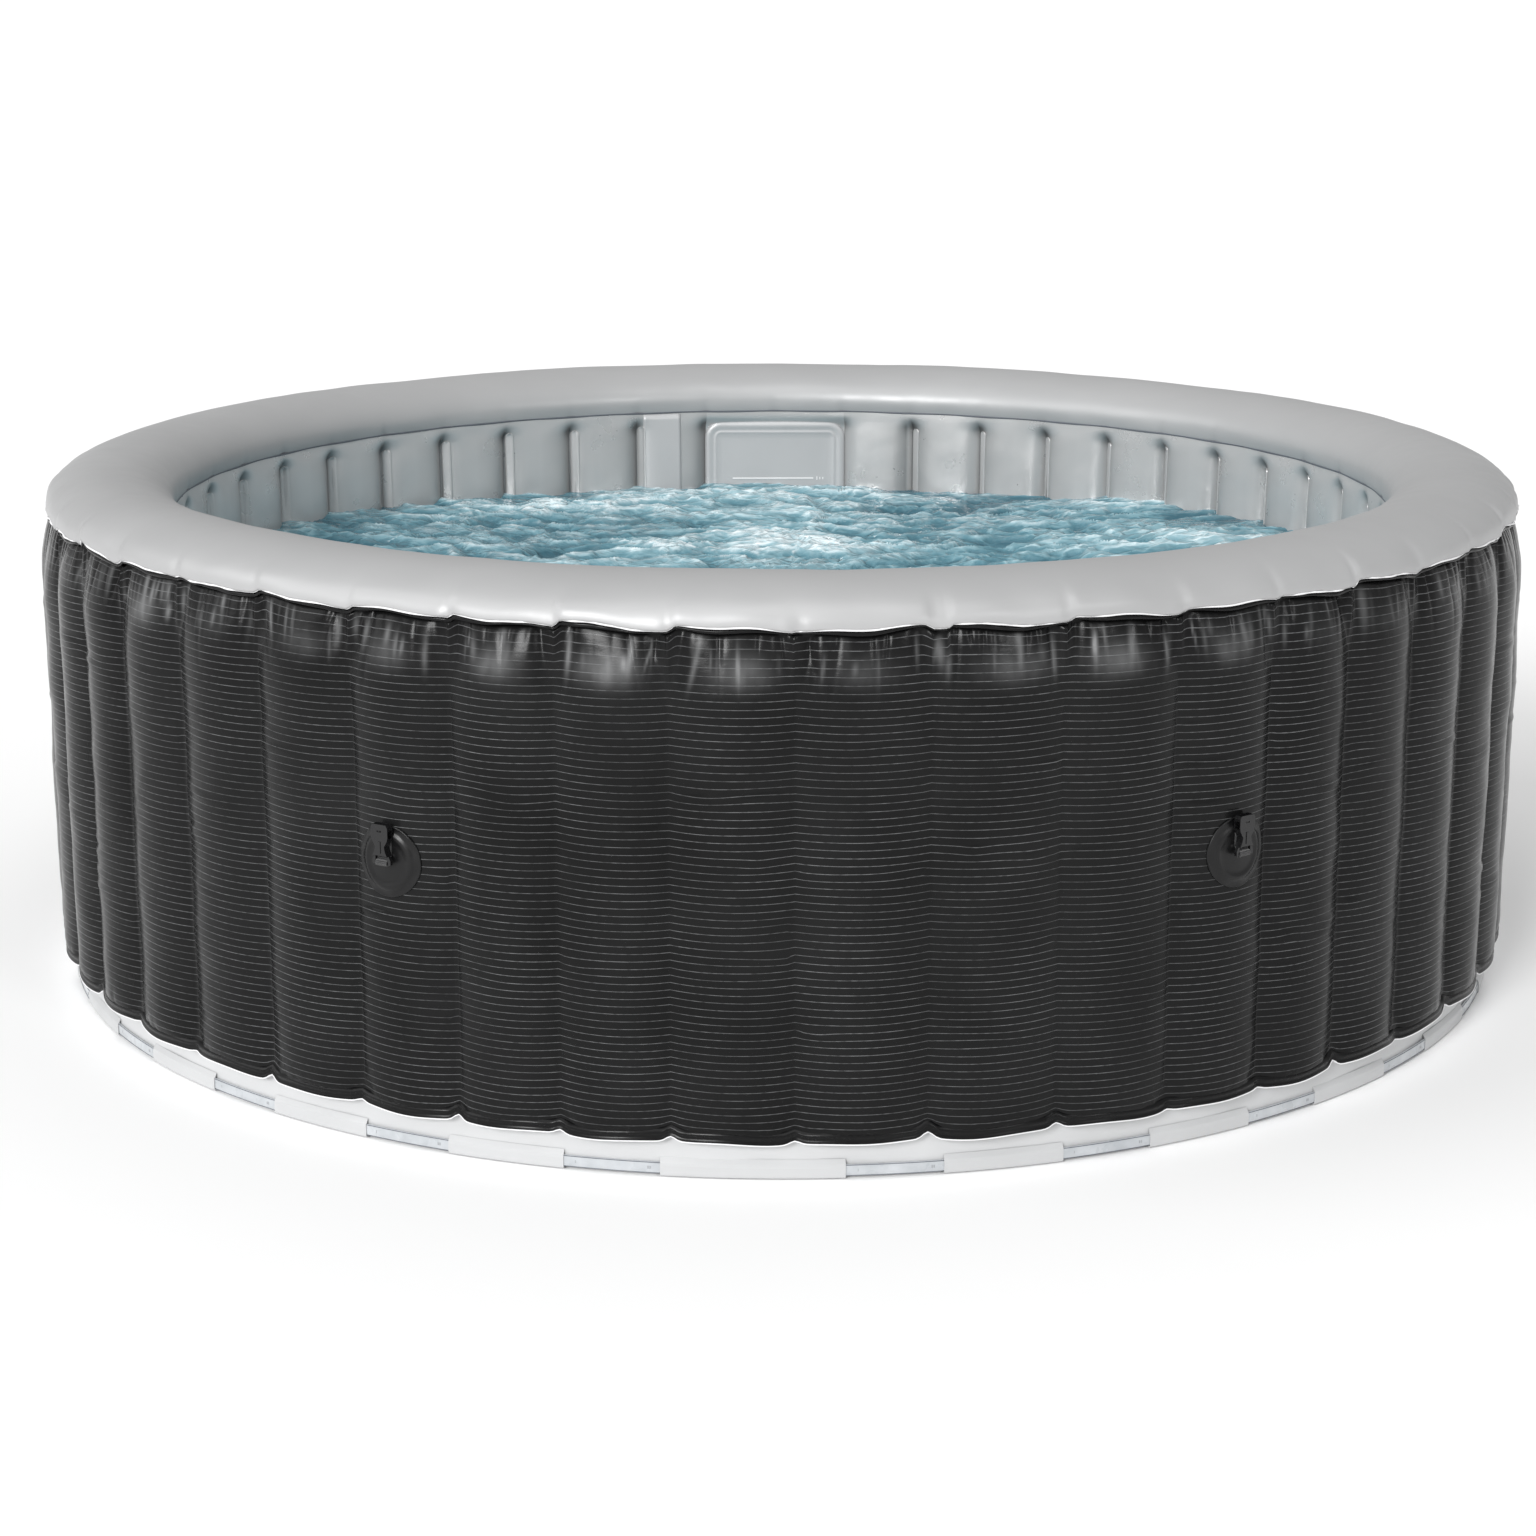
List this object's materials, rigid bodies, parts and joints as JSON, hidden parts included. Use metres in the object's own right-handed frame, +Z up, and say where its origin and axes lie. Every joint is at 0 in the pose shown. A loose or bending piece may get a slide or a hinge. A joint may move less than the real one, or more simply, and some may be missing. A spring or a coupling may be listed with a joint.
{
  "type": "inflatable hot tub",
  "caption": "Round inflatable hot tub with a chambered wall, port panel, air valve, drain, filter and cover buckles.",
  "frame": {"origin": "on the ground, at the centre of the round vessel", "axes": "+Z up, +Y towards the port panel, +X to the right seen from the front (-Y) side"},
  "size_m": [2.0693, 2.0521, 0.693],
  "materials": {
    "wall_pvc": "satin black, fine light grey lines",
    "rim_pvc": "satin silver grey",
    "liner_pvc": "glossy silver grey",
    "base_pvc": "satin white",
    "web_pvc": "matte",
    "panel_grey": "satin",
    "port_plastic": "matte",
    "seal_rubber": "matte",
    "channel_pvc": "satin",
    "filter_paper": "matte",
    "valve_plastic": "satin",
    "spring_steel": "satin",
    "patch_black": "satin",
    "webbing": "woven",
    "buckle_plastic": "satin",
    "strip_clear": "clear"
  },
  "bodies": {
    "vessel": {"air_duct": "port_plastic", "air_gasket": "seal_rubber", "air_locknut": "port_plastic", "air_sleeve": "port_plastic", "base_skirt": "base_pvc", "base_weld": "wall_pvc", "bubble_ring": "channel_pvc", "buckle_patch_1": "patch_black", "buckle_patch_2": "patch_black", "buckle_patch_3": "patch_black", "buckle_patch_4": "patch_black", "buckle_patch_5": "patch_black", "buckle_patch_6": "patch_black", "chamber_webs": "web_pvc", "drain_gasket": "seal_rubber", "drain_sleeve": "port_plastic", "drain_tether": "valve_plastic", "filter_base": "port_plastic", "floor_sheet": "liner_pvc", "inlet_gaskets": "seal_rubber", "inlet_locknut": "port_plastic", "inlet_sleeve": "port_plastic", "inner_port_panel": "panel_grey", "inner_wall": "liner_pvc", "light_strip": "strip_clear", "light_strip_loops": "base_pvc", "liner_lap_strip": "liner_pvc", "outer_port_panel": "panel_grey", "outer_wall": "wall_pvc", "outlet_gaskets": "seal_rubber", "outlet_grille": "port_plastic", "outlet_locknut": "port_plastic", "outlet_sleeve": "port_plastic", "rim_inner_weld": "rim_pvc", "rim_outer_weld": "rim_pvc", "top_rim": "rim_pvc", "valve_body": "valve_plastic", "valve_spring": "spring_steel", "valve_tether": "valve_plastic", "webbing_loop_1": "webbing", "webbing_loop_2": "webbing", "webbing_loop_3": "webbing", "webbing_loop_4": "webbing", "webbing_loop_5": "webbing", "webbing_loop_6": "webbing"},
    "filter_housing": {"filter_housing": "port_plastic"},
    "filter_cap": {"filter_cap": "port_plastic", "filter_cartridge": "filter_paper"},
    "valve_stem": {"valve_stem": "valve_plastic"},
    "valve_cap_ring": {"valve_cap_ring": "valve_plastic"},
    "valve_cap": {"valve_cap": "valve_plastic"},
    "drain_plug": {"drain_plug": "valve_plastic"},
    "drain_cap_ring": {"drain_cap_ring": "valve_plastic"},
    "drain_cap": {"drain_cap": "valve_plastic"},
    "buckle_1": {"buckle_socket_1": "buckle_plastic"},
    "buckle_2": {"buckle_socket_2": "buckle_plastic"},
    "buckle_3": {"buckle_socket_3": "buckle_plastic"},
    "buckle_4": {"buckle_socket_4": "buckle_plastic"},
    "buckle_5": {"buckle_socket_5": "buckle_plastic"},
    "buckle_6": {"buckle_socket_6": "buckle_plastic"}
  },
  "joints": [
    {"name": "filter_turn", "type": "hinge", "parent": "vessel", "child": "filter_housing", "pos_m": [-0.056, 0.83803, 0.15], "axis": [0, -1, 0], "range_deg": [0, 45]},
    {"name": "filter_cap_pull", "type": "slide", "parent": "filter_housing", "child": "filter_cap", "axis": [0, -1, 0], "range_m": [0, 0.12]},
    {"name": "valve_push", "type": "slide", "parent": "vessel", "child": "valve_stem", "axis": [-0.3347, -0.9423, 0], "range_m": [0, 0.004], "stiffness_N_per_m": 900, "deforming": ["valve_spring"]},
    {"name": "valve_ring_slide", "type": "slide", "parent": "vessel", "child": "valve_cap_ring", "axis": [0.3347, 0.9423, 0], "range_m": [0, 0.0091]},
    {"name": "valve_cap_turn", "type": "hinge", "parent": "valve_cap_ring", "child": "valve_cap", "pos_m": [0.34142, 0.96116, 0.54], "axis": [0.3347, 0.9423, 0], "range_deg": [0, 1080]},
    {"name": "drain_pull", "type": "slide", "parent": "vessel", "child": "drain_plug", "axis": [0.9231, -0.3846, 0], "range_m": [0, 0.018]},
    {"name": "drain_ring_slide", "type": "slide", "parent": "vessel", "child": "drain_cap_ring", "axis": [-0.9231, 0.3846, 0], "range_m": [0, 0.0121]},
    {"name": "drain_cap_turn", "type": "hinge", "parent": "drain_cap_ring", "child": "drain_cap", "pos_m": [-0.92125, 0.38379, 0.027], "axis": [-0.9231, 0.3846, 0], "range_deg": [0, 1440]},
    {"name": "buckle_swing_1", "type": "hinge", "parent": "vessel", "child": "buckle_1", "pos_m": [-0.46517, -0.91748, 0.355], "axis": [0.8521, -0.5234, 0], "range_deg": [0, 150]},
    {"name": "buckle_swing_2", "type": "hinge", "parent": "vessel", "child": "buckle_2", "pos_m": [0.52324, -0.88554, 0.355], "axis": [0.8133, 0.5818, 0], "range_deg": [0, 150]},
    {"name": "buckle_swing_3", "type": "hinge", "parent": "vessel", "child": "buckle_3", "pos_m": [1.02889, 0.02508, 0.355], "axis": [-0.0244, 0.9997, 0], "range_deg": [0, 150]},
    {"name": "buckle_swing_4", "type": "hinge", "parent": "vessel", "child": "buckle_4", "pos_m": [0.47347, 0.91383, 0.355], "axis": [-0.8879, 0.46, 0], "range_deg": [0, 150]},
    {"name": "buckle_swing_5", "type": "hinge", "parent": "vessel", "child": "buckle_5", "pos_m": [-0.47502, 0.91302, 0.355], "axis": [-0.8871, -0.4615, 0], "range_deg": [0, 150]},
    {"name": "buckle_swing_6", "type": "hinge", "parent": "vessel", "child": "buckle_6", "pos_m": [-1.02873, -0.0311, 0.355], "axis": [0.0302, -0.9995, 0], "range_deg": [0, 150]}
  ],
  "couplings": [
    {"joint": "valve_ring_slide", "follows": "valve_cap_turn", "m_per_rad": 0.00047746},
    {"joint": "drain_ring_slide", "follows": "drain_cap_turn", "m_per_rad": 0.00047746}
  ]
}
